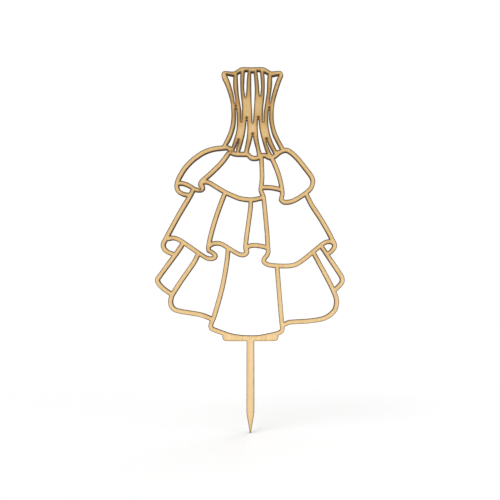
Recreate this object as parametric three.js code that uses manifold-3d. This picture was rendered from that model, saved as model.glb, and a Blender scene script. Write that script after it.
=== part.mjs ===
// Cake topper: an openwork wedding dress on a stake, laser cut from one sheet of three-ply plywood.
// Millimetres, +Z up, front face towards -Y. The origin is on the stake's centre line, level with
// the underside of the support bar, where the topper meets the icing.
import * as THREE from "three";
import { mergeVertices } from "three/addons/utils/BufferGeometryUtils.js";
import Module from "manifold-3d";

// Whole dress, and the lines that it is drawn with
const dressHeight = 150;
const dressWidth = 103.4;
const lineWidth = 2.6;

// Support bar under the hem, and the stake that goes into the cake
const barLength = 30.8;
const barHeight = 3.2;
const barCornerRadius = 2.4;
const barAboveZeroLine = 0.4;
const stakeWidth = 4.3;
const stakeLength = 50;
const stakePointLength = 10.7;
const stakeTipWidth = 0.6;

// Layers of the plywood, and the laser's narrowest cut
const faceVeneerThickness = 0.6;
const coreVeneerThickness = 1.6;
const glueLineThickness = 0.1;
const kerfWidth = 0.15;

// How finely curves are followed, how far a line's side may fold over inside a bend, as a share of
// its half width, and how far the finished outline may be from its curves
const curveSpacing = 0.3;
const foldOverShare = 0.015;
const chordTolerance = 0.05;

// Every point below is a pair of shares: x of dressWidth from the stake's centre line, and z of
// dressHeight from the drawing's zero line, which is barAboveZeroLine under the bar's underside.

// Bodice, from the left end of the waist up, round the neckline and down to the waist's right end
const bodiceShares = [
  [-0.15, 0.713], [-0.139, 0.7275], [-0.119, 0.757], [-0.1067, 0.785], [-0.101, 0.8155],
  [-0.102, 0.85], [-0.1075, 0.8795], [-0.1195, 0.9095], [-0.135, 0.939], [-0.1507, 0.9625],
  [-0.153, 0.972], [-0.149, 0.981], [-0.139, 0.9855], [-0.115, 0.985], [-0.095, 0.984],
  [-0.083, 0.9855], [-0.069, 0.992], [-0.055, 0.998], [-0.043, 1.0], [0.0, 0.9995],
  [0.0415, 1.0], [0.0655, 1.0], [0.078, 0.9975], [0.09, 0.993], [0.102, 0.9875],
  [0.111, 0.9845], [0.123, 0.985], [0.15, 0.9865], [0.162, 0.985], [0.1715, 0.9775],
  [0.174, 0.971], [0.169, 0.9625], [0.157, 0.94], [0.143, 0.9095], [0.132, 0.883],
  [0.126, 0.86], [0.1235, 0.835], [0.1255, 0.8], [0.134, 0.773], [0.151, 0.743], [0.181, 0.705],
];
const bodiceWaistShares = [
  [0.165, 0.693], [0.12, 0.673], [0.06, 0.678], [0.02, 0.669], [-0.02, 0.684], [-0.11, 0.69],
];

// Slits in the bodice: each side from the wide end to where the tip begins, then the tip
const slitShares = [
  {
    leftShares: [
      [-0.126, 0.973], [-0.115, 0.959], [-0.1055, 0.9425], [-0.097, 0.923], [-0.0903, 0.906],
      [-0.0859, 0.89],
    ],
    rightShares: [[-0.09, 0.968], [-0.0915, 0.95], [-0.0915, 0.926], [-0.0887, 0.912], [-0.0829, 0.89]],
    tipShares: [-0.0805, 0.869],
  },
  {
    leftShares: [
      [-0.067, 0.975], [-0.0655, 0.95], [-0.064, 0.926], [-0.0605, 0.9], [-0.055, 0.876], [-0.049, 0.85],
      [-0.0482, 0.832],
    ],
    rightShares: [
      [-0.054, 0.981], [-0.0545, 0.95], [-0.054, 0.926], [-0.0515, 0.9], [-0.0475, 0.876], [-0.0445, 0.85],
      [-0.0462, 0.832],
    ],
    tipShares: [-0.0475, 0.803],
  },
  {
    leftShares: [[-0.029, 0.985], [-0.0305, 0.96], [-0.0325, 0.94], [-0.032, 0.92], [-0.0288, 0.907]],
    rightShares: [[-0.0145, 0.986], [-0.0185, 0.96], [-0.021, 0.94], [-0.0215, 0.92], [-0.0238, 0.907]],
    tipShares: [-0.0262, 0.893],
  },
  {
    leftShares: [
      [0.005, 0.981], [0.0055, 0.95], [0.0055, 0.91], [0.0065, 0.87], [0.0095, 0.84], [0.0104, 0.815],
    ],
    rightShares: [
      [0.0165, 0.981], [0.0195, 0.955], [0.0225, 0.92], [0.02, 0.87], [0.017, 0.84], [0.0143, 0.815],
    ],
    tipShares: [0.0118, 0.799],
  },
  {
    leftShares: [[0.037, 0.986], [0.0415, 0.96], [0.0455, 0.94], [0.047, 0.92], [0.0485, 0.912]],
    rightShares: [[0.05, 0.985], [0.053, 0.96], [0.055, 0.94], [0.0545, 0.92], [0.0533, 0.912]],
    tipShares: [0.0505, 0.8975],
  },
  {
    leftShares: [
      [0.074, 0.9805], [0.0765, 0.95], [0.076, 0.915], [0.0729, 0.885], [0.0685, 0.86], [0.0671, 0.835],
    ],
    rightShares: [
      [0.091, 0.974], [0.0877, 0.95], [0.0865, 0.915], [0.0806, 0.885], [0.0753, 0.86], [0.0697, 0.835],
    ],
    tipShares: [0.068, 0.803],
  },
  {
    leftShares: [[0.1157, 0.9665], [0.1157, 0.945], [0.1135, 0.926], [0.1097, 0.908], [0.1068, 0.893]],
    rightShares: [[0.149, 0.9715], [0.135, 0.95], [0.125, 0.93], [0.1165, 0.91], [0.1103, 0.893]],
    tipShares: [0.1045, 0.873],
  },
  {
    leftShares: [
      [-0.1215, 0.717], [-0.106, 0.734], [-0.097, 0.748], [-0.088, 0.766], [-0.0805, 0.785],
      [-0.076, 0.815],
    ],
    rightShares: [
      [-0.1, 0.711], [-0.0925, 0.7265], [-0.0857, 0.741], [-0.078, 0.7587], [-0.073, 0.78],
      [-0.0722, 0.81],
    ],
    tipShares: [-0.0775, 0.849],
  },
  {
    leftShares: [[-0.0875, 0.69], [-0.0805, 0.7065], [-0.071, 0.72]],
    rightShares: [[-0.0775, 0.69], [-0.0752, 0.7065], [-0.0675, 0.72]],
    tipShares: [-0.0635, 0.732],
  },
  {
    leftShares: [
      [-0.056, 0.69], [-0.0493, 0.7055], [-0.042, 0.722], [-0.035, 0.741], [-0.0285, 0.762],
      [-0.023, 0.787],
    ],
    rightShares: [
      [-0.0351, 0.69], [-0.0311, 0.7055], [-0.0261, 0.722], [-0.0209, 0.741], [-0.0174, 0.762],
      [-0.0168, 0.787],
    ],
    tipShares: [-0.0193, 0.807],
  },
  {
    leftShares: [[-0.0095, 0.686], [-0.0055, 0.702], [0.0015, 0.72], [0.0085, 0.738]],
    rightShares: [[0.034, 0.674], [0.0305, 0.697], [0.024, 0.714], [0.0155, 0.738]],
    tipShares: [0.0122, 0.7495],
  },
  {
    leftShares: [
      [0.0617, 0.684], [0.0565, 0.6965], [0.051, 0.7107], [0.0458, 0.73], [0.042, 0.748], [0.039, 0.785],
    ],
    rightShares: [
      [0.0855, 0.684], [0.0775, 0.698], [0.071, 0.7125], [0.064, 0.7285], [0.0565, 0.7475],
      [0.0455, 0.785],
    ],
    tipShares: [0.0418, 0.811],
  },
  {
    leftShares: [[0.1155, 0.682], [0.108, 0.6925], [0.099, 0.705], [0.0897, 0.722]],
    rightShares: [[0.1215, 0.684], [0.1145, 0.694], [0.1045, 0.706], [0.0927, 0.722]],
    tipShares: [0.0875, 0.731],
  },
  {
    leftShares: [
      [0.1397, 0.698], [0.1217, 0.723], [0.1114, 0.741], [0.1037, 0.7587], [0.0965, 0.785], [0.095, 0.815],
    ],
    rightShares: [
      [0.156, 0.7007], [0.141, 0.7197], [0.1293, 0.7357], [0.1177, 0.7517], [0.1045, 0.785],
      [0.0978, 0.815],
    ],
    tipShares: [0.0993, 0.846],
  },
];

// Lines of the skirt, each along its middle, tier by tier from the waist down
const waistShares = [
  [-0.105, 0.691], [-0.085, 0.6855], [-0.06, 0.684], [-0.03, 0.684], [-0.015, 0.683],
  [-0.005, 0.677], [0.004, 0.671], [0.015, 0.669], [0.03, 0.669], [0.045, 0.672], [0.06, 0.678],
  [0.075, 0.68], [0.09, 0.675], [0.105, 0.671], [0.12, 0.673], [0.135, 0.68], [0.15, 0.689], [0.165, 0.695],
];
const upperTierShares = {
  leftEdgeShares: [
    [-0.125, 0.708], [-0.16, 0.706], [-0.195, 0.7025], [-0.225, 0.6965], [-0.255, 0.687], [-0.28, 0.6755],
    [-0.305, 0.6625], [-0.33, 0.6455], [-0.35, 0.629], [-0.368, 0.609], [-0.38, 0.593], [-0.387, 0.578],
    [-0.389, 0.567], [-0.386, 0.556], [-0.378, 0.5475], [-0.362, 0.5405], [-0.345, 0.5365], [-0.328, 0.5355],
  ],
  leftCuffShares: [
    [-0.385, 0.577], [-0.365, 0.578], [-0.345, 0.575], [-0.325, 0.569], [-0.305, 0.561], [-0.29, 0.555],
    [-0.272, 0.5535], [-0.26, 0.5545], [-0.2525, 0.5595], [-0.253, 0.567],
  ],
  leftFoldShares: [
    [-0.118, 0.685], [-0.133, 0.67], [-0.155, 0.651], [-0.18, 0.6335], [-0.205, 0.6165], [-0.23, 0.601],
    [-0.25, 0.589], [-0.2615, 0.58], [-0.264, 0.572], [-0.2585, 0.562],
  ],
  centreHemShares: [
    [-0.25, 0.582], [-0.235, 0.583], [-0.215, 0.579], [-0.19, 0.569], [-0.165, 0.558], [-0.115, 0.539],
    [-0.09, 0.532], [-0.06, 0.5235], [-0.035, 0.52], [-0.01, 0.518], [0.015, 0.518], [0.055, 0.524],
  ],
  centreFoldShares: [
    [0.058, 0.672], [0.0585, 0.655], [0.06, 0.63], [0.0615, 0.605], [0.0595, 0.58], [0.057, 0.565],
    [0.055, 0.553], [0.06, 0.543], [0.067, 0.533], [0.071, 0.52],
  ],
  narrowHemShares: [[0.06, 0.562], [0.085, 0.563], [0.11, 0.562], [0.135, 0.559], [0.158, 0.555]],
  rightFoldShares: [
    [0.114, 0.668], [0.125, 0.652], [0.137, 0.633], [0.148, 0.612], [0.157, 0.59], [0.163, 0.57],
    [0.168, 0.55], [0.168, 0.535], [0.163, 0.522],
  ],
  rightEdgeShares: [
    [0.165, 0.695], [0.18, 0.6985], [0.2, 0.6965], [0.218, 0.688], [0.24, 0.6745], [0.262, 0.6575],
    [0.285, 0.637], [0.305, 0.6195], [0.322, 0.603], [0.3295, 0.589], [0.3285, 0.575], [0.321, 0.562],
    [0.308, 0.551], [0.29, 0.541], [0.27, 0.531], [0.245, 0.5205], [0.22, 0.5125], [0.195, 0.509],
    [0.175, 0.5105], [0.163, 0.518],
  ],
};
const middleTierShares = {
  leftEdgeShares: [
    [-0.304, 0.552], [-0.3135, 0.5395], [-0.325, 0.5245], [-0.337, 0.5105], [-0.375, 0.467],
    [-0.415, 0.4165], [-0.447, 0.375], [-0.459, 0.36], [-0.461, 0.352], [-0.457, 0.341], [-0.446, 0.332],
    [-0.43, 0.3255], [-0.412, 0.321],
  ],
  leftHemShares: [
    [-0.435, 0.376], [-0.41, 0.379], [-0.39, 0.376], [-0.37, 0.369], [-0.345, 0.358],
    [-0.295, 0.334], [-0.27, 0.322], [-0.245, 0.311], [-0.225, 0.3045], [-0.205, 0.3035], [-0.19, 0.3075],
    [-0.186, 0.314], [-0.193, 0.321], [-0.206, 0.327], [-0.22, 0.3335],
  ],
  leftFoldShares: [
    [-0.138, 0.536], [-0.15, 0.515], [-0.173, 0.472], [-0.194, 0.427], [-0.2115, 0.382], [-0.218, 0.36],
    [-0.222, 0.343], [-0.22, 0.332],
  ],
  centreHemShares: [
    [-0.217, 0.35], [-0.2, 0.357], [-0.18, 0.3595], [-0.16, 0.358], [-0.14, 0.352], [-0.115, 0.341],
    [-0.09, 0.3305], [-0.065, 0.321], [-0.045, 0.317], [-0.028, 0.3195], [-0.019, 0.327], [-0.0195, 0.337],
    [-0.024, 0.346],
  ],
  centreFoldShares: [
    [0.002, 0.515], [0.0005, 0.49], [-0.004, 0.465], [-0.014, 0.415], [-0.0235, 0.365], [-0.0255, 0.345],
    [-0.024, 0.335],
  ],
  narrowHemShares: [
    [-0.02, 0.345], [0.0, 0.3505], [0.02, 0.352], [0.045, 0.3505], [0.07, 0.347], [0.088, 0.343],
  ],
  rightFoldShares: [
    [0.071, 0.52], [0.0745, 0.495], [0.083, 0.435], [0.089, 0.385], [0.0905, 0.36], [0.0925, 0.342],
    [0.094, 0.33], [0.089, 0.318], [0.079, 0.308], [0.0715, 0.301], [0.071, 0.293], [0.079, 0.287],
  ],
  rightHemShares: [
    [0.079, 0.287], [0.095, 0.2815], [0.12, 0.2785], [0.15, 0.277], [0.18, 0.2765], [0.21, 0.2775],
    [0.235, 0.281], [0.26, 0.29], [0.285, 0.302], [0.31, 0.316], [0.36, 0.3445], [0.38, 0.356],
    [0.4, 0.3635], [0.42, 0.3655], [0.435, 0.362],
  ],
  rightEdgeShares: [
    [0.296, 0.537], [0.323, 0.5], [0.37, 0.45], [0.4125, 0.4], [0.434, 0.37], [0.444, 0.355],
    [0.4435, 0.345], [0.434, 0.335], [0.423, 0.327], [0.412, 0.323],
  ],
};
const lowerTierShares = {
  leftEdgeShares: [
    [-0.358, 0.357], [-0.388, 0.326], [-0.43, 0.287], [-0.47, 0.2485], [-0.484, 0.236], [-0.4905, 0.2285],
    [-0.4895, 0.219], [-0.48, 0.2085], [-0.464, 0.1965], [-0.445, 0.1865], [-0.419, 0.1745],
  ],
  leftHemShares: [
    [-0.279, 0.316], [-0.299, 0.289], [-0.335, 0.2535], [-0.37, 0.2185], [-0.402, 0.184], [-0.414, 0.17],
    [-0.4205, 0.155], [-0.4215, 0.141], [-0.416, 0.129], [-0.403, 0.119], [-0.383, 0.1135], [-0.36, 0.11],
    [-0.3, 0.1035], [-0.275, 0.1005], [-0.25, 0.096], [-0.23, 0.0905], [-0.2, 0.082],
  ],
  leftFoldShares: [
    [-0.119, 0.336], [-0.121, 0.312], [-0.132, 0.26], [-0.147, 0.205], [-0.167, 0.151], [-0.187, 0.104],
    [-0.197, 0.083], [-0.2075, 0.066], [-0.2095, 0.055], [-0.203, 0.048], [-0.19, 0.0435],
  ],
  centreHemShares: [
    [-0.19, 0.0435], [-0.145, 0.032], [-0.111, 0.024], [-0.083, 0.0197], [-0.055, 0.0174], [-0.0275, 0.0154],
    [0.003, 0.0147], [0.034, 0.0152], [0.065, 0.0185], [0.096, 0.0229], [0.14, 0.03],
  ],
  rightFoldShares: [
    [0.141, 0.277], [0.144, 0.25], [0.15, 0.2], [0.1565, 0.15], [0.162, 0.1], [0.168, 0.055],
    [0.168, 0.043], [0.158, 0.0355], [0.14, 0.03],
  ],
  rightHemShares: [
    [0.172, 0.06], [0.185, 0.0655], [0.205, 0.071], [0.235, 0.073], [0.3, 0.0755], [0.36, 0.081],
    [0.385, 0.085], [0.41, 0.093], [0.43, 0.1035], [0.447, 0.118], [0.454, 0.134], [0.4555, 0.15],
    [0.4515, 0.165], [0.43, 0.2], [0.3925, 0.25], [0.3685, 0.28], [0.351, 0.302], [0.336, 0.322],
  ],
  rightEdgeShares: [
    [0.376, 0.3475], [0.385, 0.338], [0.4075, 0.3145], [0.4415, 0.2805], [0.469, 0.2515], [0.48, 0.24],
    [0.485, 0.23], [0.484, 0.219], [0.475, 0.2085], [0.46, 0.199], [0.447, 0.19],
  ],
};

// A slit as narrow as the laser cuts, where the upper tier's fold lies against its cuff
const creaseShares = [[-0.2768, 0.568], [-0.2723, 0.563], [-0.265, 0.556]];

const wasm = await Module();
wasm.setup();

// A pair of shares as a point. Shapes are drawn flat, with x across and y up, and stood up at the end.
function place([xShare, zShare]) {
  return new THREE.Vector2(xShare * dressWidth, zShare * dressHeight - barAboveZeroLine);
}

// A smooth curve through places, as closely spaced points.
function curvePoints(places) {
  const corners = places.map((p) => new THREE.Vector3(p.x, p.y, 0));
  const curve = new THREE.CatmullRomCurve3(corners, false, "centripetal");
  const steps = Math.ceil(curve.getLength() / curveSpacing);
  return curve.getSpacedPoints(steps).map((p) => new THREE.Vector2(p.x, p.y));
}

// The area inside a closed outline, 1 deep, as a solid that can be joined and cut.
function plate(outline) {
  const geometry = new THREE.ExtrudeGeometry(new THREE.Shape(outline), { depth: 1, bevelEnabled: false });
  geometry.deleteAttribute("normal");
  geometry.deleteAttribute("uv");
  const merged = mergeVertices(geometry);
  const vertProperties = merged.attributes.position.array;
  const triVerts = new Uint32Array(merged.index.array);
  return new wasm.Manifold(new wasm.Mesh({ numProp: 3, vertProperties, triVerts }));
}

// One side of a line at half its width from its middle, on the left for side 1 and on the right for
// side -1. Points on the inside of a bend that would fold over are left out.
function lineSide(middle, halfWidth, side) {
  const points = middle.map((p, i) => {
    const before = middle[Math.max(i - 1, 0)];
    const after = middle[Math.min(i + 1, middle.length - 1)];
    const along = after.clone().sub(before).normalize();
    return new THREE.Vector2(p.x - along.y * halfWidth * side, p.y + along.x * halfWidth * side);
  });
  const nearest = halfWidth * (1 - foldOverShare);
  return points.filter((p) => middle.every((m) => p.distanceTo(m) >= nearest));
}

// A half circle round a line's end, clockwise from the last point of one side.
function roundEnd(centre, from) {
  const radius = from.distanceTo(centre);
  const start = from.clone().sub(centre).angle();
  const steps = Math.ceil((Math.PI * radius) / curveSpacing);
  const points = [];
  for (let i = 1; i < steps; i++) {
    const angle = start - (Math.PI * i) / steps;
    points.push(new THREE.Vector2(radius * Math.cos(angle), radius * Math.sin(angle)).add(centre));
  }
  return points;
}

// A line of even width with round ends.
function stroke(shares, width) {
  const middle = curvePoints(shares.map(place));
  const left = lineSide(middle, width / 2, 1);
  const right = lineSide(middle, width / 2, -1).reverse();
  const farEnd = roundEnd(middle[middle.length - 1], left[left.length - 1]);
  const nearEnd = roundEnd(middle[0], right[right.length - 1]);
  return plate([...left, ...farEnd, ...right, ...nearEnd]);
}

// A slit that tapers from its wide end to a tip as narrow as the laser cuts.
function slit({ leftShares, rightShares, tipShares }) {
  const halfKerf = new THREE.Vector2(kerfWidth / 2, 0);
  const leftSide = curvePoints([...leftShares.map(place), place(tipShares).sub(halfKerf)]);
  const rightSide = curvePoints([...rightShares.map(place), place(tipShares).add(halfKerf)]);
  return plate([...leftSide, ...rightSide.reverse()]);
}

// The support bar, a rectangle with rounded lower corners under the hem.
function supportBar() {
  const half = barLength / 2;
  const r = barCornerRadius;
  const shape = new THREE.Shape();
  shape.moveTo(half, barHeight);
  shape.lineTo(-half, barHeight);
  shape.absarc(r - half, r, r, Math.PI, 1.5 * Math.PI, false);
  shape.absarc(half - r, r, r, 1.5 * Math.PI, 2 * Math.PI, false);
  return plate(shape.getPoints());
}

// The stake, straight down from inside the bar and then narrowing to its point.
function stake() {
  const half = stakeWidth / 2;
  const halfTip = stakeTipWidth / 2;
  const shoulder = stakePointLength - stakeLength;
  return plate([
    new THREE.Vector2(half, barHeight / 2),
    new THREE.Vector2(-half, barHeight / 2),
    new THREE.Vector2(-half, shoulder),
    new THREE.Vector2(-halfTip, -stakeLength),
    new THREE.Vector2(halfTip, -stakeLength),
    new THREE.Vector2(half, shoulder),
  ]);
}

// The whole cut-out, 1 deep.
function cutOut() {
  const bodiceOutline = [...curvePoints(bodiceShares.map(place)), ...bodiceWaistShares.map(place)];
  const slits = slitShares.map(slit);
  const bodice = wasm.Manifold.difference([plate(bodiceOutline), ...slits]);
  const tiers = [upperTierShares, middleTierShares, lowerTierShares];
  const lines = [waistShares, ...tiers.flatMap((tier) => Object.values(tier))];
  const skirt = lines.map((shares) => stroke(shares, lineWidth));
  const whole = wasm.Manifold.union([bodice, ...skirt, supportBar(), stake()]);
  return wasm.Manifold.difference([whole, stroke(creaseShares, kerfWidth)]);
}

// The closed loops round the top face of a solid that is 1 deep: its outline and its openings.
function topLoops(solid) {
  const { vertProperties, triVerts } = solid.getMesh();
  const isTop = (v) => vertProperties[3 * v + 2] > 0.5;
  const after = new Map();
  for (let i = 0; i < triVerts.length; i += 3) {
    const corners = [...triVerts.slice(i, i + 3)];
    if (!corners.every(isTop)) continue;
    corners.forEach((from, k) => {
      const to = corners[(k + 1) % 3];
      if (after.get(to)?.has(from)) after.get(to).delete(from);
      else after.set(from, (after.get(from) ?? new Set()).add(to));
    });
  }
  const loops = [];
  for (const first of after.keys()) {
    const loop = [];
    let at = first;
    while (after.get(at)?.size) {
      loop.push(new THREE.Vector2(vertProperties[3 * at], vertProperties[3 * at + 1]));
      const [to] = after.get(at);
      after.get(at).delete(to);
      at = to;
    }
    if (loop.length) loops.push(loop);
  }
  return loops;
}

// The fewest points of an open line that keep it within the tolerance.
function thinned(points) {
  const [first, last] = [points[0], points[points.length - 1]].map((p) => new THREE.Vector3(p.x, p.y, 0));
  const chord = new THREE.Line3(first, last);
  const onChord = new THREE.Vector3();
  const distances = points.map((p) => {
    const point = new THREE.Vector3(p.x, p.y, 0);
    return chord.closestPointToPoint(point, true, onChord).distanceTo(point);
  });
  const furthest = Math.max(...distances);
  if (furthest <= chordTolerance) return [points[0], points[points.length - 1]];
  const at = distances.indexOf(furthest);
  return [...thinned(points.slice(0, at + 1)), ...thinned(points.slice(at)).slice(1)];
}

// A closed loop thinned in two halves, between its first point and the one furthest from it.
function thinnedLoop(loop) {
  const distances = loop.map((p) => p.distanceTo(loop[0]));
  const at = distances.indexOf(Math.max(...distances));
  const there = thinned(loop.slice(0, at + 1));
  const back = thinned([...loop.slice(at), loop[0]]);
  return [...there, ...back.slice(1, -1)];
}

// One layer of the plywood, upright, with its front face at frontY.
function layer(name, shape, thickness, frontY, material) {
  const geometry = new THREE.ExtrudeGeometry(shape, { depth: thickness, bevelEnabled: false });
  const mesh = new THREE.Mesh(geometry, material);
  mesh.name = name;
  mesh.rotation.x = Math.PI / 2;
  mesh.position.y = frontY + thickness;
  return mesh;
}

function topper() {
  const loops = topLoops(cutOut()).map(thinnedLoop);
  const shape = new THREE.Shape(loops.find((loop) => THREE.ShapeUtils.area(loop) > 0));
  const openings = loops.filter((loop) => THREE.ShapeUtils.area(loop) < 0);
  shape.holes = openings.map((loop) => new THREE.Path(loop));
  const faceWood = new THREE.MeshStandardMaterial({ color: 0xf0cda0, roughness: 0.7, metalness: 0 });
  const coreWood = new THREE.MeshStandardMaterial({ color: 0xb98a5a, roughness: 0.8, metalness: 0 });
  const glue = new THREE.MeshStandardMaterial({ color: 0x4a2f1c, roughness: 0.6, metalness: 0 });
  const layers = [
    ["front_veneer", faceVeneerThickness, faceWood],
    ["front_glue_line", glueLineThickness, glue],
    ["core_veneer", coreVeneerThickness, coreWood],
    ["back_glue_line", glueLineThickness, glue],
    ["back_veneer", faceVeneerThickness, faceWood],
  ];
  const group = new THREE.Group();
  let frontY = -layers.reduce((sum, [, thickness]) => sum + thickness, 0) / 2;
  for (const [name, thickness, material] of layers) {
    group.add(layer(name, shape, thickness, frontY, material));
    frontY += thickness;
  }
  return group;
}

export default topper();
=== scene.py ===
import math

import bpy
import numpy as np
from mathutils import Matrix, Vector, geometry, kdtree


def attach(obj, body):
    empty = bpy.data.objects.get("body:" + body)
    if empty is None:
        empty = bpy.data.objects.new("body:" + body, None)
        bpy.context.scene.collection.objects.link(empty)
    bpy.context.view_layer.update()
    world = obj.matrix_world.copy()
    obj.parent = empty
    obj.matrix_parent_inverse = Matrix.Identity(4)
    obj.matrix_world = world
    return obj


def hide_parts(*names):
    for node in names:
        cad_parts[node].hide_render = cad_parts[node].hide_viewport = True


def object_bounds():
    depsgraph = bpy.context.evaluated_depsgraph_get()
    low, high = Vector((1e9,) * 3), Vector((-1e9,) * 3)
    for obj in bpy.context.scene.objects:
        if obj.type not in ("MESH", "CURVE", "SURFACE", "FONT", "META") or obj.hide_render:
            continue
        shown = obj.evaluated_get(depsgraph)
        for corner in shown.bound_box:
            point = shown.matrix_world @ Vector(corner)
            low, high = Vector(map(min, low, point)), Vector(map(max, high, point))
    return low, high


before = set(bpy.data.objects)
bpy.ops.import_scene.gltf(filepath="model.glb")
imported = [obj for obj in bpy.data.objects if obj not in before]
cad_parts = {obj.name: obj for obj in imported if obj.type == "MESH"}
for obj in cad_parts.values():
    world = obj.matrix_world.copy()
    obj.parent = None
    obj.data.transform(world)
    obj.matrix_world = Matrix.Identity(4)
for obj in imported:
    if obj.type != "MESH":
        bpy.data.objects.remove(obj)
cad_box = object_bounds()

# Sizes are in millimetres up to the point where a mesh or the camera is made. The lamps' and the
# floor's own are in metres.
mm = 0.001

# The sheet: where its layers begin and end, from the front face to the back one
front = -1.5
front_glue_starts = -0.9
core_starts = -0.8
core_ends = 0.8
back = 1.5

# The laser's cut: the worn rim of the faces, the taper of the cut through the sheet, how far the plies
# are worn back beside the glue, how far the glue lines burn back and within what depth, the slight
# hollow in the core's middle, and the depth of the fine ridges that the beam leaves
rim = 0.04
kerf_taper = 0.03
joint_wear = 0.01
glue_burnt_back = 0.035
glue_slope = 0.03
core_hollow = 0.008
ridge_depth = 0.016

# Depths of the walls' inner rows: in a veneer, and in the core on both sides of its middle
veneer_row = -1.2
core_row = 0.45

# How finely the sheet is divided: along the cuts before and after they are spaced evenly, across the
# faces, on their burn marks, and in rings inside the cuts
fine_spacing = 0.04
cut_spacing = 0.33
face_spacing = 0.55
mark_spacing = 0.24
ring_insets = (0.12, 0.26, 0.5)

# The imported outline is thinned, so a smooth curve turns at a point by at most about smooth_turn divided
# by the shorter side there, in radians. A turn beyond that, or beyond the upper limit, is a real
# corner, and one under the lower limit never is.
smooth_turn = 0.54
corner_limits = (math.radians(5), math.radians(70))

# Edges that turn more than this are drawn sharp
sharp_edge = math.radians(38)

# The dress's own measures, from the stake's centre line and the drawing's zero line, which is a
# little under the origin. Places given as shares of them follow the model.
dress_width = 103.4
dress_height = 150.0
zero_line = -0.4


# The outline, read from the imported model


def cut_loops(mesh):
    """The closed loops round a layer's front face, in millimetres: its outline and its openings."""
    places = [(round(v.co.x / mm, 3), round(v.co.z / mm, 3)) for v in mesh.vertices]
    foremost = min(v.co.y for v in mesh.vertices) + 1e-6
    edges = set()
    for face in mesh.polygons:
        if all(mesh.vertices[i].co.y < foremost for i in face.vertices):
            ring = [places[i] for i in face.vertices]
            edges.update(zip(ring, ring[1:] + ring[:1]))
    after = {a: b for a, b in edges if (b, a) not in edges}
    loops = []
    while after:
        at = min(after)
        loop = []
        while at in after:
            loop.append(at)
            at = after.pop(at)
        loops.append(np.array(loop))
    return loops


def unit(vectors):
    return vectors / np.hypot(*vectors.T)[:, None]


def turns(loop):
    """The unit ways in which a loop comes to and leaves each of its points, and its turn there."""
    leaving = unit(np.roll(loop, -1, axis=0) - loop)
    coming = np.roll(leaving, 1, axis=0)
    across = coming[:, 0] * leaving[:, 1] - coming[:, 1] * leaving[:, 0]
    return coming, leaving, np.arctan2(across, (coming * leaving).sum(1))


def smoothed(loop):
    """The loop as a closely spaced smooth curve, and which of its points are real corners."""
    length = np.hypot(*(np.roll(loop, -1, axis=0) - loop).T)
    _, heading, signed_turn = turns(loop)
    turn = np.abs(signed_turn)
    shorter = np.minimum(length, np.roll(length, 1))
    corner = turn > np.clip(smooth_turn / shorter, *corner_limits)
    tangent = unit(np.roll(loop, -1, axis=0) - np.roll(loop, 1, axis=0))
    points, corners = [], []
    for i, start in enumerate(loop):
        j = (i + 1) % len(loop)
        leave, arrive, straight = tangent[i], tangent[j], heading[i]
        if corner[i] and corner[j]:
            leave = arrive = straight
        elif corner[i]:
            leave = 2 * straight * (straight @ arrive) - arrive
        elif corner[j]:
            arrive = 2 * straight * (straight @ leave) - leave
        t = np.arange(0, 1, min(1, fine_spacing / length[i]))[:, None]
        points.append(start * (2 * t**3 - 3 * t**2 + 1) + loop[j] * (3 * t**2 - 2 * t**3)
                      + length[i] * (leave * (t**3 - 2 * t**2 + t) + arrive * (t**3 - t**2)))
        corners.append(np.arange(len(t)) == 0 if corner[i] else np.zeros(len(t), bool))
    return np.concatenate(points), np.concatenate(corners)


def respaced(points, corners):
    """The same curve with points an even distance apart between its corners."""
    first = int(np.argmax(corners))
    points = np.roll(points, -first, axis=0)
    breaks = [0] + [i for i in np.flatnonzero(np.roll(corners, -first)) if i > 0] + [len(points)]
    points = np.vstack([points, points[:1]])
    along = np.concatenate([[0], np.cumsum(np.hypot(*np.diff(points, axis=0).T))])
    spaced = []
    for a, b in zip(breaks, breaks[1:]):
        steps = max(1, round((along[b] - along[a]) / cut_spacing))
        at = along[a] + (along[b] - along[a]) * np.arange(steps) / steps
        spaced.append(np.stack([np.interp(at, along, points[:, k]) for k in (0, 1)], 1))
    return np.concatenate(spaced)


def kept_in_box(points):
    low, high = ([corner[0] / mm, corner[2] / mm] for corner in cad_box)
    return np.clip(points, low, high)


def into_sheet(loop, tree):
    """For each point of a loop, the way into the wood, as long as keeps the inset even at corners.

    At very sharp corners it is no longer than least_opening allows. Where the wood is a thin splinter,
    so that a probe into it comes out near the cut again, it is thin_share as long, and the splinter's
    two sides don't cross.
    """
    least_opening = 0.3
    probe = 3 * rim
    room_share, thin_share = 0.75, 0.2
    heading = unit(np.roll(loop, -1, axis=0) - loop)
    left = np.stack([-heading[:, 1], heading[:, 0]], 1)
    before = np.roll(left, 1, axis=0)
    mitre = (left + before) / np.maximum(1 + (left * before).sum(1), least_opening)[:, None]
    room = from_cut(loop + mitre * probe, tree)
    return mitre * np.where(room < room_share * probe, thin_share, 1.0)[:, None]


# Points over the faces


def on_wood(points, loops):
    """Which points lie inside the outline and outside the openings."""
    starts = np.concatenate(loops)
    ends = np.concatenate([np.roll(loop, -1, axis=0) for loop in loops])
    result = np.zeros(len(points), bool)
    for z in np.unique(points[:, 1]):
        crosses = (starts[:, 1] > z) != (ends[:, 1] > z)
        a, b = starts[crosses], ends[crosses]
        x = np.sort(a[:, 0] + (z - a[:, 1]) / (b[:, 1] - a[:, 1]) * (b[:, 0] - a[:, 0]))
        row = points[:, 1] == z
        result[row] = np.searchsorted(x, points[row, 0]) % 2 == 1
    return result


def cut_tree(points):
    tree = kdtree.KDTree(len(points))
    for i, (x, z) in enumerate(points):
        tree.insert((x, z, 0), i)
    tree.balance()
    return tree


def from_cut(points, tree):
    return np.array([tree.find((x, z, 0))[2] for x, z in points])


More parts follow.
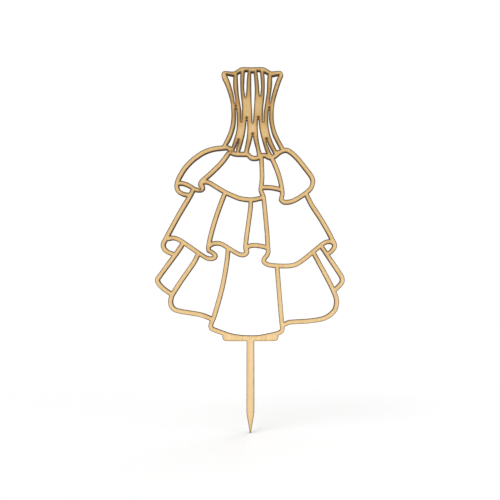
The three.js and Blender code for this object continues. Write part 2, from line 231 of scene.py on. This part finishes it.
def round_tips(loop, reach):
    """Points that far from the corners round which the wood turns, such as the ends of the slits."""
    least_turn = math.radians(35)
    points_each = 5
    coming, _, turn = turns(loop)
    points = []
    for i in np.flatnonzero(turn < -least_turn):
        first = math.atan2(coming[i, 0], -coming[i, 1])
        angles = first + turn[i] * np.linspace(0, 1, points_each)
        points.append(loop[i] + reach * np.stack([np.cos(angles), np.sin(angles)], 1))
    return np.concatenate([np.zeros((0, 2)), *points])


def even_grid(spacing, on_marks):
    """An even grid of points over the wood, either on the burn marks or clear of them."""
    least_scorch = 0.1
    low, high = all_cut.min(0), all_cut.max(0)
    rows = np.arange(low[1], high[1], spacing * math.sqrt(3) / 2)
    starts = low[0] + spacing / 2 * (np.arange(len(rows)) % 2)
    across = starts[:, None] + np.arange(0, high[0] - low[0], spacing)
    grid = np.stack([across, np.broadcast_to(rows[:, None], across.shape)], 2).reshape(-1, 2)
    grid = grid[(scorch_at(grid) > least_scorch) == on_marks]
    return grid[on_wood(grid, loops)]


def face_points(edge_inset):
    """Points inside a face whose edge lies that far inside the cuts, and how far each is from that edge.

    They lie in rings that follow the edge, less the places where two rings meet, and in an even grid
    between the rings.
    """
    clear_share = 0.93
    found, distances = [], []
    for inset in ring_insets:
        reach = edge_inset + inset
        ring = np.concatenate([all_cut + all_ways * reach, *(round_tips(loop, reach) for loop in loops)])
        keep = from_cut(ring, near_cuts) > clear_share * reach
        found.append(ring[keep])
        distances.append(np.full(keep.sum(), inset))
    for spacing, on_marks in ((face_spacing, False), (mark_spacing, True)):
        grid = even_grid(spacing, on_marks)
        distance = from_cut(grid, near_cuts) - edge_inset
        keep = distance > ring_insets[-1] + spacing / 3
        found.append(grid[keep])
        distances.append(distance[keep])
    return np.concatenate(found), np.concatenate(distances)


def covered(rings, inner):
    """Triangles over the wood between closed rings.

    They are given as numbers of the rings' points and then the inner ones.
    """
    edges, count = [], 0
    for ring in rings:
        edges += [(count + i, count + (i + 1) % len(ring)) for i in range(len(ring))]
        count += len(ring)
    spots = np.concatenate([*rings, inner])
    spot_vectors = [Vector(spot) for spot in spots]
    _, _, faces, origins, _, _ = geometry.delaunay_2d_cdt(spot_vectors, edges, [], 1, 1e-6)
    triangles = np.array([[origins[i][0] for i in face] for face in faces])
    keep = np.ones(len(triangles), bool)
    across = np.flatnonzero((triangles < count).all(1))
    keep[across] = on_wood(spots[triangles[across]].mean(1), rings)
    return triangles[keep]


# What the laser's heat did, as values that the materials read

# Burn marks at the tips of the bodice's slits, and the golden stains beside them: place as shares of
# the dress, radius in millimetres, strength
burn_marks = [
    (-0.077, 0.859, 0.95, 1.0), (0.1003, 0.8535, 1.0, 1.0), (-0.0195, 0.8155, 1.0, 1.0),
    (0.042, 0.8175, 1.05, 1.0), (0.0122, 0.7575, 1.05, 1.0), (-0.0625, 0.7365, 0.95, 0.95),
    (0.0855, 0.739, 1.15, 1.0), (-0.082, 0.874, 2.0, 0.58), (0.1025, 0.868, 1.9, 0.5),
    (-0.0265, 0.889, 1.3, 0.34), (0.05, 0.895, 1.1, 0.24), (-0.0472, 0.806, 0.9, 0.6),
    (-0.048, 0.785, 1.3, 0.3), (0.068, 0.806, 0.9, 0.5), (0.0118, 0.797, 0.8, 0.6),
    (-0.1, 0.693, 1.3, 0.6), (-0.235, 0.573, 0.8, 0.6), (-0.27, 0.561, 0.8, 0.5),
]


def on_dress(x_share, z_share):
    return np.array([x_share * dress_width, z_share * dress_height + zero_line])


def heat_map(points):
    """How much cut line runs near each place, as a function that reads it from a blurred grid."""
    cell, reach, margin = 0.5, 2.6, 8.0
    low = points.min(0) - margin
    shape = np.ceil((points.max(0) + margin - low) / cell).astype(int)
    grid = np.zeros(shape)
    np.add.at(grid, tuple(((points - low) / cell).astype(int).T), 1.0)
    cells = round(margin / cell)
    offsets = np.arange(-cells, cells + 1) * cell
    weights = np.exp(-(offsets / reach) ** 2 / 2)
    for axis in (0, 1):
        grid = np.apply_along_axis(np.convolve, axis, grid, weights / weights.sum(), "same")

    def read(at):
        place = (at - low) / cell - 0.5
        base = np.floor(place).astype(int)
        share = place - base
        total = 0
        for dx in (0, 1):
            for dz in (0, 1):
                weight = np.abs(1 - dx - share[:, 0]) * np.abs(1 - dz - share[:, 1])
                total = total + weight * grid[base[:, 0] + dx, base[:, 1] + dz]
        return total

    return read


def scorch_at(points):
    """How strongly the burn marks show at each place, 0 to 1."""
    total = np.zeros(len(points))
    for x_share, z_share, radius, strength in burn_marks:
        distance = np.hypot(*(points - on_dress(x_share, z_share)).T)
        total = np.maximum(total, strength * np.exp(-(distance / radius) ** 2))
    return total


# The layers


def jitter(count, seed, reach):
    """An even noise along a cut, smooth over a few points."""
    noise = np.random.default_rng(seed).uniform(-1, 1, count)
    kernel = np.hanning(reach + 2)[1:-1]
    return np.convolve(np.concatenate([noise, noise[:reach]]), kernel / kernel.sum(), "same")[:count]


def taper_at(y):
    """How much narrower than the drawing the beam left the wood at this depth: most at the front."""
    return kerf_taper * (back - y) / (back - front)


def fine_cover(y):
    """A face's inner points, their distances from its edge, and its triangles."""
    edge_inset = rim + taper_at(y)
    points, distances = face_points(edge_inset)
    return points, distances, covered([loop + way * edge_inset for loop, way in zip(loops, ways)], points)


def layer(name, node, rows, materials, seed, fine_side=None):
    """One ply or glue line: walls in rows from its front to its back, and a cover on each side.

    rows are (y, inset) pairs. The cover on the fine side, 0 for the front or -1 for the back, shows
    and is divided finely. The hidden covers are plain. The ridges run straight through the layer, and
    wander by a share of their depth from row to row.
    """
    wander_share = 0.25
    count = len(all_cut)
    ridges = ridge_depth * (np.abs(jitter(count, seed, 1)) + np.abs(jitter(count, seed + 1, 4)))
    rings, heights = [], []
    for k, (y, inset) in enumerate(rows):
        wander = wander_share * ridge_depth * np.abs(jitter(count, seed + 2 + k, 2))
        rings.append(all_cut + all_ways * (inset + taper_at(y) + ridges + wander)[:, None])
        heights.append(np.full(count, y))
    distances = [np.zeros(len(rows) * count)]
    after = np.concatenate([first + np.roll(np.arange(size), -1) for first, size in loop_spans])
    here = np.arange(count)
    faces = []
    for k in range(len(rows) - 1):
        quads = np.stack([here, here + count, after + count, after], 1) + k * count
        faces += quads.tolist()
    slots = [1] * len(faces)
    total = len(rows) * count
    for side, base in ((0, 0), (-1, total - count)):
        numbers = here + base
        triangles = plain_triangles
        if side == fine_side:
            points, from_edge, triangles = fine_cover(rows[side][0])
            numbers = np.concatenate([numbers, total + np.arange(len(points))])
            rings.append(points)
            heights.append(np.full(len(points), rows[side][0]))
            distances.append(from_edge)
        cover = numbers[triangles]
        faces += (cover[:, ::-1] if side else cover).tolist()
        slots += [0 if side == fine_side else 1] * len(cover)
    flat = np.concatenate(rings)
    places = np.stack([flat[:, 0], np.concatenate(heights), flat[:, 1]], 1) * mm
    mesh = bpy.data.meshes.new(name)
    mesh.from_pydata(places.tolist(), [], faces)
    mesh.polygons.foreach_set("material_index", slots)
    mesh.polygons.foreach_set("use_smooth", [True] * len(faces))
    for label, values in (("cut_distance", np.concatenate(distances)), ("browning", browning(flat)),
                          ("scorch", scorch_at(flat))):
        attribute = mesh.attributes.new(label, "FLOAT", "POINT")
        attribute.data.foreach_set("value", values.astype(np.float32))
    mesh.update()
    mesh.set_sharp_from_angle(angle=sharp_edge)
    piece = bpy.data.objects.new(name, mesh)
    bpy.context.scene.collection.objects.link(piece)
    for material in materials:
        mesh.materials.append(material)
    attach(piece, "root")
    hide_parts(node)
    return piece


# Materials


def colour(red, green, blue):
    """A colour given as the eye reads it, 0 to 255, as the shader takes it."""
    parts = [c / 255 for c in (red, green, blue)]
    return (*(c / 12.92 if c <= 0.04045 else ((c + 0.055) / 1.055) ** 2.4 for c in parts), 1.0)


class Shader:
    """A material's node tree, with short ways to add what the materials here are made of."""

    def __init__(self, name):
        self.material = bpy.data.materials.new(name)
        self.material.use_nodes = True
        self.tree = self.material.node_tree
        self.surface = self.tree.nodes["Principled BSDF"]
        found = self.add("TexCoord")
        self.place = self.vector("SCALE", found.outputs["Object"], scale=1 / mm)

    def add(self, kind, inputs=(), **settings):
        node = self.tree.nodes.new("ShaderNode" + kind)
        for name, value in settings.items():
            setattr(node, name, value)
        for name, value in dict(inputs).items():
            self.join(node.inputs[name], value)
        return node

    def join(self, socket, value):
        if isinstance(value, bpy.types.NodeSocket):
            self.tree.links.new(value, socket)
        else:
            socket.default_value = value

    def vector(self, operation, first, second=None, scale=None):
        node = self.add("VectorMath", {0: first}, operation=operation)
        if second is not None:
            self.join(node.inputs[1], second)
        if scale is not None:
            self.join(node.inputs["Scale"], scale)
        return node.outputs["Value" if operation == "LENGTH" else "Vector"]

    def value(self, name):
        return self.add("Attribute", attribute_name=name).outputs["Fac"]

    def math(self, operation, *values):
        node = self.add("Math", operation=operation)
        for socket, value in zip(node.inputs, values):
            self.join(socket, value)
        return node.outputs[0]

    def ramp(self, value, low, high, to_low=0.0, to_high=1.0):
        """value from low to high, eased, becomes to_low to to_high."""
        node = self.add("MapRange", {"Value": value, "From Min": low, "From Max": high, "To Min": to_low,
                                     "To Max": to_high}, interpolation_type="SMOOTHSTEP")
        return node.outputs["Result"]

    def noise(self, across, through, along, detail=4.0, roughness=0.55, shift=0.0):
        """Noise with that many features to the millimetre across, through and up the sheet."""
        stretched = self.vector("MULTIPLY", self.place, (across, through, along))
        moved = self.vector("ADD", stretched, (shift, 1.7 * shift, 0.6 * shift))
        inputs = {"Vector": moved, "Scale": 1.0, "Detail": detail, "Roughness": roughness}
        return self.add("TexNoise", inputs).outputs["Fac"]

    def mix(self, share, first, second, blend="MIX"):
        node = self.add("Mix", data_type="RGBA", blend_type=blend)
        self.join(node.inputs["Factor"], share)
        self.join(node.inputs[6], first)
        self.join(node.inputs[7], second)
        return node.outputs[2]

    def bump(self, height, distance, strength=1.0, under=None):
        inputs = {"Height": height, "Distance": distance * mm, "Strength": strength}
        if under is not None:
            inputs["Normal"] = under
        return self.add("Bump", inputs).outputs["Normal"]

    def finish(self, base, roughness, normal, specular):
        self.join(self.surface.inputs["Base Color"], base)
        self.join(self.surface.inputs["Roughness"], roughness)
        self.join(self.surface.inputs["Normal"], normal)
        self.surface.inputs["Specular IOR Level"].default_value = specular
        return self.material


# Colours of the bare veneer, from its grain to the browning by heat and the char
dark_streak = colour(228, 195, 142)
pale_streak = colour(247, 216, 168)
dark_fibre = colour(212, 175, 114)
broad_band = colour(221, 191, 137)
pore_brown = colour(166, 120, 76)
warmed_tan = colour(201, 167, 108)
heated_brown = colour(168, 134, 77)
edge_tan = colour(192, 153, 90)
edge_brown = colour(132, 98, 51)
edge_char = colour(60, 40, 19)
mark_gold = colour(172, 122, 56)
mark_char = colour(66, 38, 16)

# Colours of the cut edges
veneer_edge = (colour(104, 71, 40), colour(50, 32, 18))
core_edge = (colour(92, 61, 35), colour(42, 26, 15))
soot_black = colour(34, 21, 13)
glue_edge = (colour(30, 18, 12), colour(66, 41, 24))


def face_wood(name, shift):
    """Bare sanded veneer: long upright grain, fine pores, browned by heat and charred at the cuts."""
    s = Shader(name)
    streaks = s.noise(0.9, 0.4, 0.022, detail=5.0, roughness=0.62, shift=shift)
    fibres = s.noise(6.5, 3.0, 0.16, detail=3.0, roughness=0.6, shift=shift + 9)
    broad = s.noise(0.05, 0.05, 0.018, detail=2.0, shift=shift + 21)
    pores = s.ramp(s.noise(5.2, 4.0, 0.42, detail=2.0, roughness=0.5, shift=shift + 33), 0.66, 0.74)
    wood = s.mix(s.ramp(streaks, 0.34, 0.68), dark_streak, pale_streak)
    wood = s.mix(s.ramp(fibres, 0.3, 0.75, 0.0, 0.35), wood, dark_fibre)
    wood = s.mix(s.ramp(broad, 0.35, 0.65, 0.0, 0.25), wood, broad_band)
    wood = s.mix(s.math("MULTIPLY", pores, 0.42), wood, pore_brown)

    # The whole dress is a little browner towards the bodice, where there was the most cutting, and
    # browner still in the bodice itself
    height = s.add("SeparateXYZ", {0: s.place}).outputs[2]
    wood = s.mix(s.ramp(height, -5.0, 102.0, 0.0, 0.5), wood, warmed_tan)
    wood = s.mix(s.ramp(height, 108.0, 128.0, 0.0, 0.26), wood, heated_brown)
    brown = s.value("browning")
    smoke = s.noise(0.35, 0.3, 0.2, detail=3.0, shift=shift + 41)
    browned = s.math("MULTIPLY", brown, s.ramp(smoke, 0.3, 0.7, 0.75, 1.15))
    wood = s.mix(s.ramp(browned, 0.1, 0.9, 0.0, 0.62), wood, heated_brown)

    # The char along the cuts widens where they crowd, and a little with height
    ragged = s.noise(1.6, 1.2, 1.1, detail=4.0, roughness=0.65, shift=shift + 57)
    distance = s.math("ADD", s.value("cut_distance"), s.ramp(ragged, 0.25, 0.75, -0.07, 0.09))
    spread = s.math("ADD", s.ramp(brown, 0.0, 0.8, 1.0, 2.2), s.ramp(height, 15.0, 85.0, 0.0, 0.4))
    close = s.math("DIVIDE", distance, spread)
    wood = s.mix(s.ramp(close, 0.1, 1.5, 0.36, 0.0), wood, edge_tan)
    wood = s.mix(s.ramp(close, 0.03, 0.5, 0.85, 0.0), wood, edge_brown)
    wood = s.mix(s.ramp(close, 0.0, 0.44, 0.97, 0.0), wood, edge_char)
    scorch = s.value("scorch")
    wood = s.mix(s.ramp(scorch, 0.02, 0.6, 0.0, 0.7), wood, mark_gold)
    wood = s.mix(s.ramp(scorch, 0.3, 0.9, 0.0, 0.94), wood, mark_char)

    normal = s.bump(fibres, 0.03, 0.5)
    normal = s.bump(pores, -0.03, 0.6, normal)
    rough = s.ramp(fibres, 0.3, 0.7, 0.62, 0.76)
    return s.finish(wood, rough, normal, specular=0.3)


def cut_wood(name, colours, shift, soot):
    """A veneer's cut edge: brown char, in fine ridges straight through the sheet, with some soot."""
    s = Shader(name)
    pale, dark = colours
    ridges = s.noise(3.4, 0.12, 3.4, detail=3.0, roughness=0.6, shift=shift)
    layers = s.noise(0.5, 3.2, 0.5, detail=3.0, roughness=0.6, shift=shift + 13)
    patches = s.noise(0.22, 0.2, 0.22, detail=3.0, shift=shift + 29)
    wood = s.mix(s.ramp(ridges, 0.3, 0.7), pale, dark)
    wood = s.mix(s.ramp(layers, 0.35, 0.7, 0.0, 0.5), wood, dark)
    wood = s.mix(s.ramp(patches, 0.4, 0.7, 0.0, soot), wood, soot_black)
    normal = s.bump(ridges, 0.06, 0.7)
    normal = s.bump(layers, 0.03, 0.5, normal)
    rough = s.ramp(ridges, 0.3, 0.7, 0.7, 0.9)
    return s.finish(wood, rough, normal, specular=0.22)


def burnt_glue(name, shift):
    """A glue line's cut edge: near black, a little glossier than the wood."""
    s = Shader(name)
    beads = s.noise(2.2, 1.5, 2.2, detail=4.0, roughness=0.65, shift=shift)
    glue = s.mix(s.ramp(beads, 0.35, 0.7), *glue_edge)
    normal = s.bump(beads, 0.05, 0.6)
    rough = s.ramp(beads, 0.3, 0.7, 0.42, 0.7)
    return s.finish(glue, rough, normal, specular=0.4)


# Camera, light and floor

# The photograph is taken straight on, and the camera stands where the cut edges face away from on
# all sides: a little right of the stake and below the middle of the dress. The frame is shifted to
# the view's middle, and the photograph is view_width wide at the front face. The two places are given
# as x and z.
camera_stand = (10.0, 30.0)
view_middle = (-0.2, 49.8)
view_width = 272.7
view_distance = 420.0
sensor_width = 36.0


def make_camera():
    data = bpy.data.cameras.new("camera")
    data.sensor_fit = "HORIZONTAL"
    data.sensor_width = sensor_width
    data.lens = sensor_width * view_distance / view_width
    data.shift_x, data.shift_y = ((m - c) / view_width for m, c in zip(view_middle, camera_stand))
    data.clip_start = 0.01
    data.clip_end = 20.0
    camera = bpy.data.objects.new("camera", data)
    x, z = camera_stand
    camera.location = Vector((x, front - view_distance, z)) * mm
    camera.rotation_euler = (math.pi / 2, 0, 0)
    bpy.context.scene.collection.objects.link(camera)
    bpy.context.scene.camera = camera


# What the lamps point at, a little under the dress's middle, in metres
lamp_target = (0, 0, 0.05)

# The floor's colour, and its own glow, which the camera and reflections see but which lights nothing:
# how strong it is near the stake and far off, and between which distances from the stake, in
# millimetres, the one becomes the other
floor_colour = (242, 242, 242)
glow_near, glow_far = 0.04, 0.35
glow_starts, glow_ends = 60.0, 1400.0


def soft_lamp(name, place, size, power):
    """A square area lamp: its place and side in metres, its power in watts."""
    data = bpy.data.lights.new(name, "AREA")
    data.shape = "SQUARE"
    data.size = size
    data.energy = power
    lamp = bpy.data.objects.new(name, data)
    lamp.location = place
    way = Vector(lamp_target) - Vector(place)
    lamp.rotation_euler = way.to_track_quat("-Z", "Y").to_euler()
    bpy.context.scene.collection.objects.link(lamp)


def background_ray(tree):
    """1 where the camera, a reflection or a transmission looks straight at it, and otherwise 0."""
    path = tree.nodes.new("ShaderNodeLightPath")
    seen = path.outputs["Is Camera Ray"]
    for kind in ("Is Glossy Ray", "Is Transmission Ray"):
        either = tree.nodes.new("ShaderNodeMath")
        either.operation = "MAXIMUM"
        tree.links.new(seen, either.inputs[0])
        tree.links.new(path.outputs[kind], either.inputs[1])
        seen = either.outputs[0]
    return seen


def make_world(strength):
    world = bpy.data.worlds.new("studio")
    world.use_nodes = True
    tree = world.node_tree
    shown = tree.nodes["Background"]
    shown.inputs["Color"].default_value = (1, 1, 1, 1)
    shown.inputs["Strength"].default_value = 1.0
    light = tree.nodes.new("ShaderNodeBackground")
    light.inputs["Color"].default_value = (1, 1, 1, 1)
    light.inputs["Strength"].default_value = strength
    mix = tree.nodes.new("ShaderNodeMixShader")
    tree.links.new(background_ray(tree), mix.inputs[0])
    tree.links.new(light.outputs[0], mix.inputs[1])
    tree.links.new(shown.outputs[0], mix.inputs[2])
    tree.links.new(mix.outputs[0], tree.nodes["World Output"].inputs["Surface"])
    bpy.context.scene.world = world


def make_floor(half):
    """A plain pale floor under the stake's tip, which keeps the object's shadow.

    The camera sees it white outside the shadow. Further off, where the lamps reach less, it glows more.
    """
    z = cad_box[0][2]
    mesh = bpy.data.meshes.new("floor")
    corners = [(-half, -half, z), (half, -half, z), (half, half, z), (-half, half, z)]
    mesh.from_pydata(corners, [], [(0, 1, 2, 3)])
    s = Shader("pale_floor")
    from_stake = s.vector("LENGTH", s.place)
    glow = s.ramp(from_stake, glow_starts, glow_ends, glow_near, glow_far)
    strength = s.math("MULTIPLY", background_ray(s.tree), glow)
    white = s.add("Emission", {"Color": (1, 1, 1, 1), "Strength": strength})
    both = s.add("AddShader", {0: s.surface.outputs[0], 1: white.outputs[0]})
    s.join(s.tree.nodes["Material Output"].inputs["Surface"], both.outputs[0])
    s.surface.inputs["Base Color"].default_value = colour(*floor_colour)
    s.surface.inputs["Roughness"].default_value = 0.9
    s.surface.inputs["Specular IOR Level"].default_value = 0.1
    mesh.materials.append(s.material)
    floor = bpy.data.objects.new("floor", mesh)
    bpy.context.scene.collection.objects.link(floor)


# The scene

fine_loops = [smoothed(loop) for loop in cut_loops(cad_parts["front_veneer"].data)]
close_cut = np.concatenate([points[::3] for points, _ in fine_loops])
near_cuts = cut_tree(close_cut)
loops = [kept_in_box(respaced(points, corners)) for points, corners in fine_loops]
ways = [into_sheet(loop, near_cuts) for loop in loops]
all_cut = np.concatenate(loops)
all_ways = np.concatenate(ways)
loop_spans = [(sum(len(other) for other in loops[:k]), len(loop)) for k, loop in enumerate(loops)]

plain_triangles = covered(loops, np.zeros((0, 2)))

# The browning starts beyond the fifth of the cuts that are most alone, and is full where they crowd most
cut_amount = heat_map(close_cut)
alone, crowded = np.quantile(cut_amount(close_cut), (0.2, 0.97))


def browning(points):
    """How much the heat of the cuts nearby browned each place, 0 to 1."""
    return np.clip((cut_amount(points) - alone) / (crowded - alone), 0, 1)


veneer_rows = [(front, rim), (front + rim, 0.0), (veneer_row, 0.0), (front_glue_starts, joint_wear)]
glue_rows = [(front_glue_starts, joint_wear), (front_glue_starts + glue_slope, glue_burnt_back),
             (core_starts - glue_slope, glue_burnt_back), (core_starts, joint_wear)]
core_rows = [(core_starts, joint_wear), (-core_row, 0.0), (0.0, core_hollow), (core_row, 0.0),
             (core_ends, joint_wear)]


def turned_round(rows):
    """The same rows for the layer on the other side of the core."""
    return [(-y, inset) for y, inset in reversed(rows)]


front_wood = face_wood("veneer_face_front", shift=3.0)
back_wood = face_wood("veneer_face_back", shift=71.0)
veneer_cut = cut_wood("veneer_cut_edge", veneer_edge, shift=5.0, soot=0.62)
core_cut = cut_wood("core_cut_edge", core_edge, shift=17.0, soot=0.68)
glue_cut = burnt_glue("glue_cut_edge", shift=8.0)

layer("front_face_veneer", "front_veneer", veneer_rows, [front_wood, veneer_cut],
      seed=11, fine_side=0)
layer("front_glue", "front_glue_line", glue_rows, [glue_cut, glue_cut], seed=31)
layer("core_ply", "core_veneer", core_rows, [core_cut, core_cut], seed=51)
layer("back_glue", "back_glue_line", turned_round(glue_rows), [glue_cut, glue_cut], seed=71)
layer("back_face_veneer", "back_veneer", turned_round(veneer_rows),
      [back_wood, veneer_cut], seed=91, fine_side=-1)

bpy.context.scene.view_settings.view_transform = "Standard"
make_camera()
make_world(strength=0.72)
soft_lamp("key", (-0.45, -0.75, 0.85), size=0.7, power=5.0)
soft_lamp("fill", (0.7, -0.8, 0.35), size=0.8, power=2.0)
soft_lamp("back", (0.35, 0.85, 0.6), size=0.7, power=3.0)
make_floor(half=1.6)
